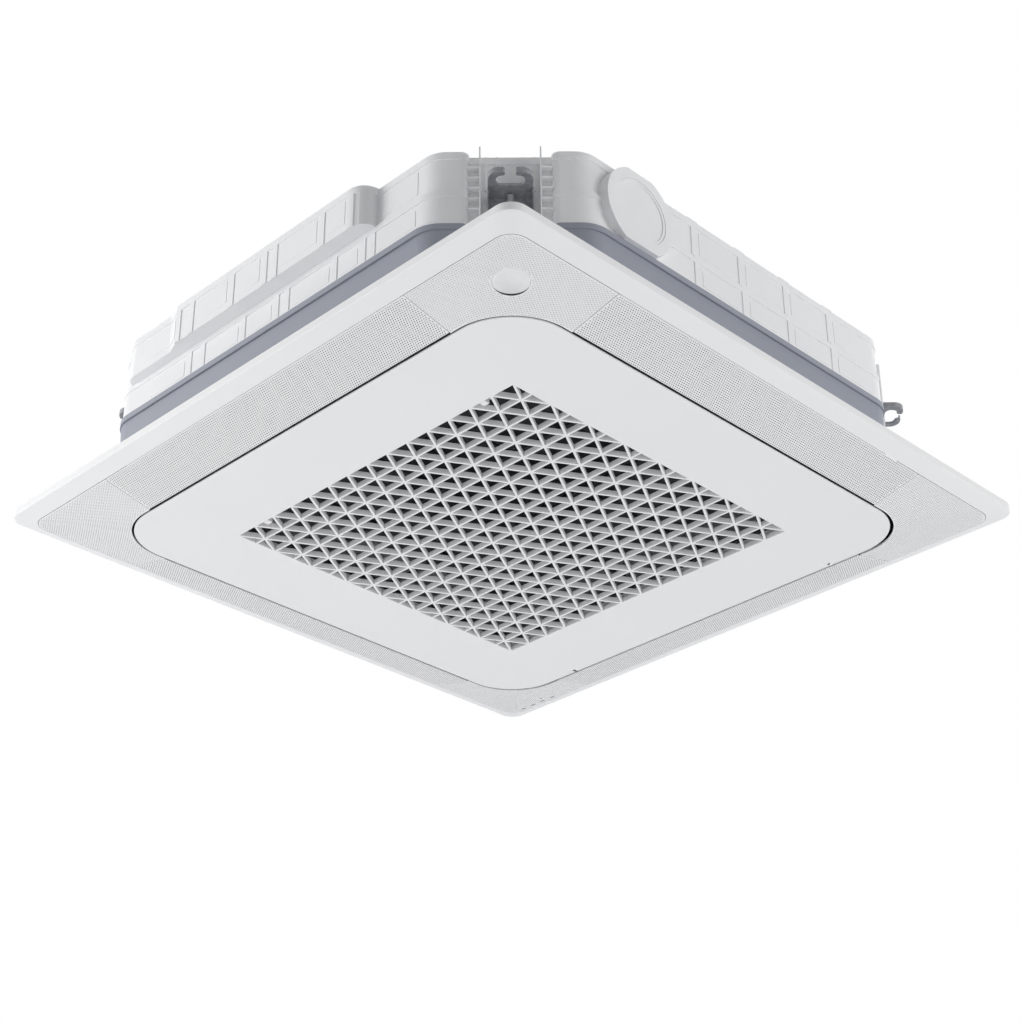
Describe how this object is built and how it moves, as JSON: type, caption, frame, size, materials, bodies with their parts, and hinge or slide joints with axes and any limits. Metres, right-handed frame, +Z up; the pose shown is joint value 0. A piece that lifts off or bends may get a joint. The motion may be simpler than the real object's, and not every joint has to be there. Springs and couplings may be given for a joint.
{
  "type": "ceiling cassette air conditioner",
  "caption": "Square ceiling cassette: white panel with perforated swinging louvres round a triangular-lattice grille, ribbed body with hangers, turbo fan, coil and drain pan.",
  "frame": {"origin": "middle of the closed unit's lowest plane, the intake grille's lower face", "axes": "+Z up towards the ceiling void; -Y is the side of the grille's latches, +X the side of the fresh-air knock-out"},
  "size_m": [0.95, 0.95, 0.243],
  "materials": {
    "panel_white": "fine matt moulded ABS",
    "casing_milky": "milky translucent polypropylene",
    "band_grey": "blue-grey moulded ABS",
    "hanger_steel": "zinc-plated pressed steel",
    "steel_plate": "galvanised sheet steel",
    "foam_white": "moulded polystyrene foam",
    "foam_black": "closed-cell foam",
    "fan_plastic": "moulded nylon",
    "motor_black": "black cast resin over steel",
    "steel_bright": "turned steel",
    "aluminium_fin": "thin aluminium fin",
    "copper": "drawn copper",
    "brass_nut": "turned brass",
    "rubber_black": "moulded rubber",
    "board_green": "glass-epoxy board",
    "lens_smoke": "smoked acrylic",
    "motor_white": "moulded ABS",
    "mesh_grey": "woven polypropylene net",
    "pump_white": "moulded polypropylene",
    "float_white": "foamed polypropylene"
  },
  "bodies": {
    "unit": {"panel_frame": "panel_white", "blade_motor_front": "motor_white", "blade_motor_right": "motor_white", "blade_motor_rear": "motor_white", "blade_motor_left": "motor_white", "corner_cover_near": "panel_white", "corner_cover_right": "panel_white", "corner_cover_far": "panel_white", "corner_cover_left": "panel_white", "sensor_cap": "panel_white", "display_lenses": "lens_smoke", "display_board": "board_green", "grille_hinge_pins": "steel_bright", "side_band": "band_grey", "upper_casing": "casing_milky", "knockout_disc": "casing_milky", "top_plate": "steel_plate", "foam_liner": "foam_white", "drain_pan": "foam_white", "hanger_near": "hanger_steel", "hanger_right": "hanger_steel", "hanger_far": "hanger_steel", "hanger_left": "hanger_steel", "bell_mouth": "motor_white", "fan_motor": "motor_black", "motor_mount": "steel_plate", "motor_cushions": "rubber_black", "coil_fins": "aluminium_fin", "coil_hairpins": "copper", "gas_pipe": "copper", "liquid_pipe": "copper", "flare_unions": "brass_nut", "pipe_plate": "steel_plate", "drain_nozzle": "pump_white", "drain_pump": "pump_white", "float_switch": "motor_white", "control_box": "steel_plate", "control_cover": "steel_plate", "main_board": "board_green", "terminal_block": "motor_white", "cable_gland": "rubber_black", "thermistors": "copper", "foam_seals": "foam_black", "screws": "steel_bright"},
    "blade_front": {"blade_front": "panel_white"},
    "blade_right": {"blade_right": "panel_white"},
    "blade_rear": {"blade_rear": "panel_white"},
    "blade_left": {"blade_left": "panel_white"},
    "grille": {"intake_grille": "panel_white", "filter_frame": "panel_white", "filter_mesh": "mesh_grey", "latch_springs": "steel_bright"},
    "latch_left": {"latch_left": "panel_white"},
    "latch_right": {"latch_right": "panel_white"},
    "fan": {"fan_hub": "fan_plastic", "fan_shroud": "fan_plastic", "fan_shaft": "steel_bright", "fan_nut": "steel_bright"},
    "impeller": {"pump_impeller": "pump_white"},
    "float": {"pan_float": "float_white"}
  },
  "joints": [
    {"name": "blade_front_swing", "type": "hinge", "parent": "unit", "child": "blade_front", "pos_m": [0, -0.4085, 0.018], "axis": [1, 0, 0], "range_deg": [0, 50]},
    {"name": "blade_right_swing", "type": "hinge", "parent": "unit", "child": "blade_right", "pos_m": [0.4085, 0, 0.018], "axis": [0, 1, 0], "range_deg": [0, 50]},
    {"name": "blade_rear_swing", "type": "hinge", "parent": "unit", "child": "blade_rear", "pos_m": [0, 0.4085, 0.018], "axis": [-1, 0, 0], "range_deg": [0, 50]},
    {"name": "blade_left_swing", "type": "hinge", "parent": "unit", "child": "blade_left", "pos_m": [-0.4085, 0, 0.018], "axis": [0, -1, 0], "range_deg": [0, 50]},
    {"name": "grille_swing", "type": "hinge", "parent": "unit", "child": "grille", "pos_m": [0, 0.3725, 0.003], "axis": [1, 0, 0], "range_deg": [0, 90]},
    {"name": "latch_left_slide", "type": "slide", "parent": "grille", "child": "latch_left", "axis": [0, 1, 0], "range_m": [0, 0.005], "stiffness_N_per_m": 200, "springref_m": -0.005, "deforming": ["latch_springs"]},
    {"name": "latch_right_slide", "type": "slide", "parent": "grille", "child": "latch_right", "axis": [0, 1, 0], "range_m": [0, 0.005], "stiffness_N_per_m": 200, "springref_m": -0.005, "deforming": ["latch_springs"]},
    {"name": "fan_spin", "type": "hinge", "parent": "unit", "child": "fan", "pos_m": [0, 0, 0.16], "axis": [0, 0, 1], "continuous": true},
    {"name": "impeller_spin", "type": "hinge", "parent": "unit", "child": "impeller", "pos_m": [0.231, 0.3, 0.07], "axis": [0, 0, 1], "continuous": true},
    {"name": "float_rise", "type": "slide", "parent": "unit", "child": "float", "axis": [0, 0, 1], "range_m": [0, 0.008]}
  ]
}
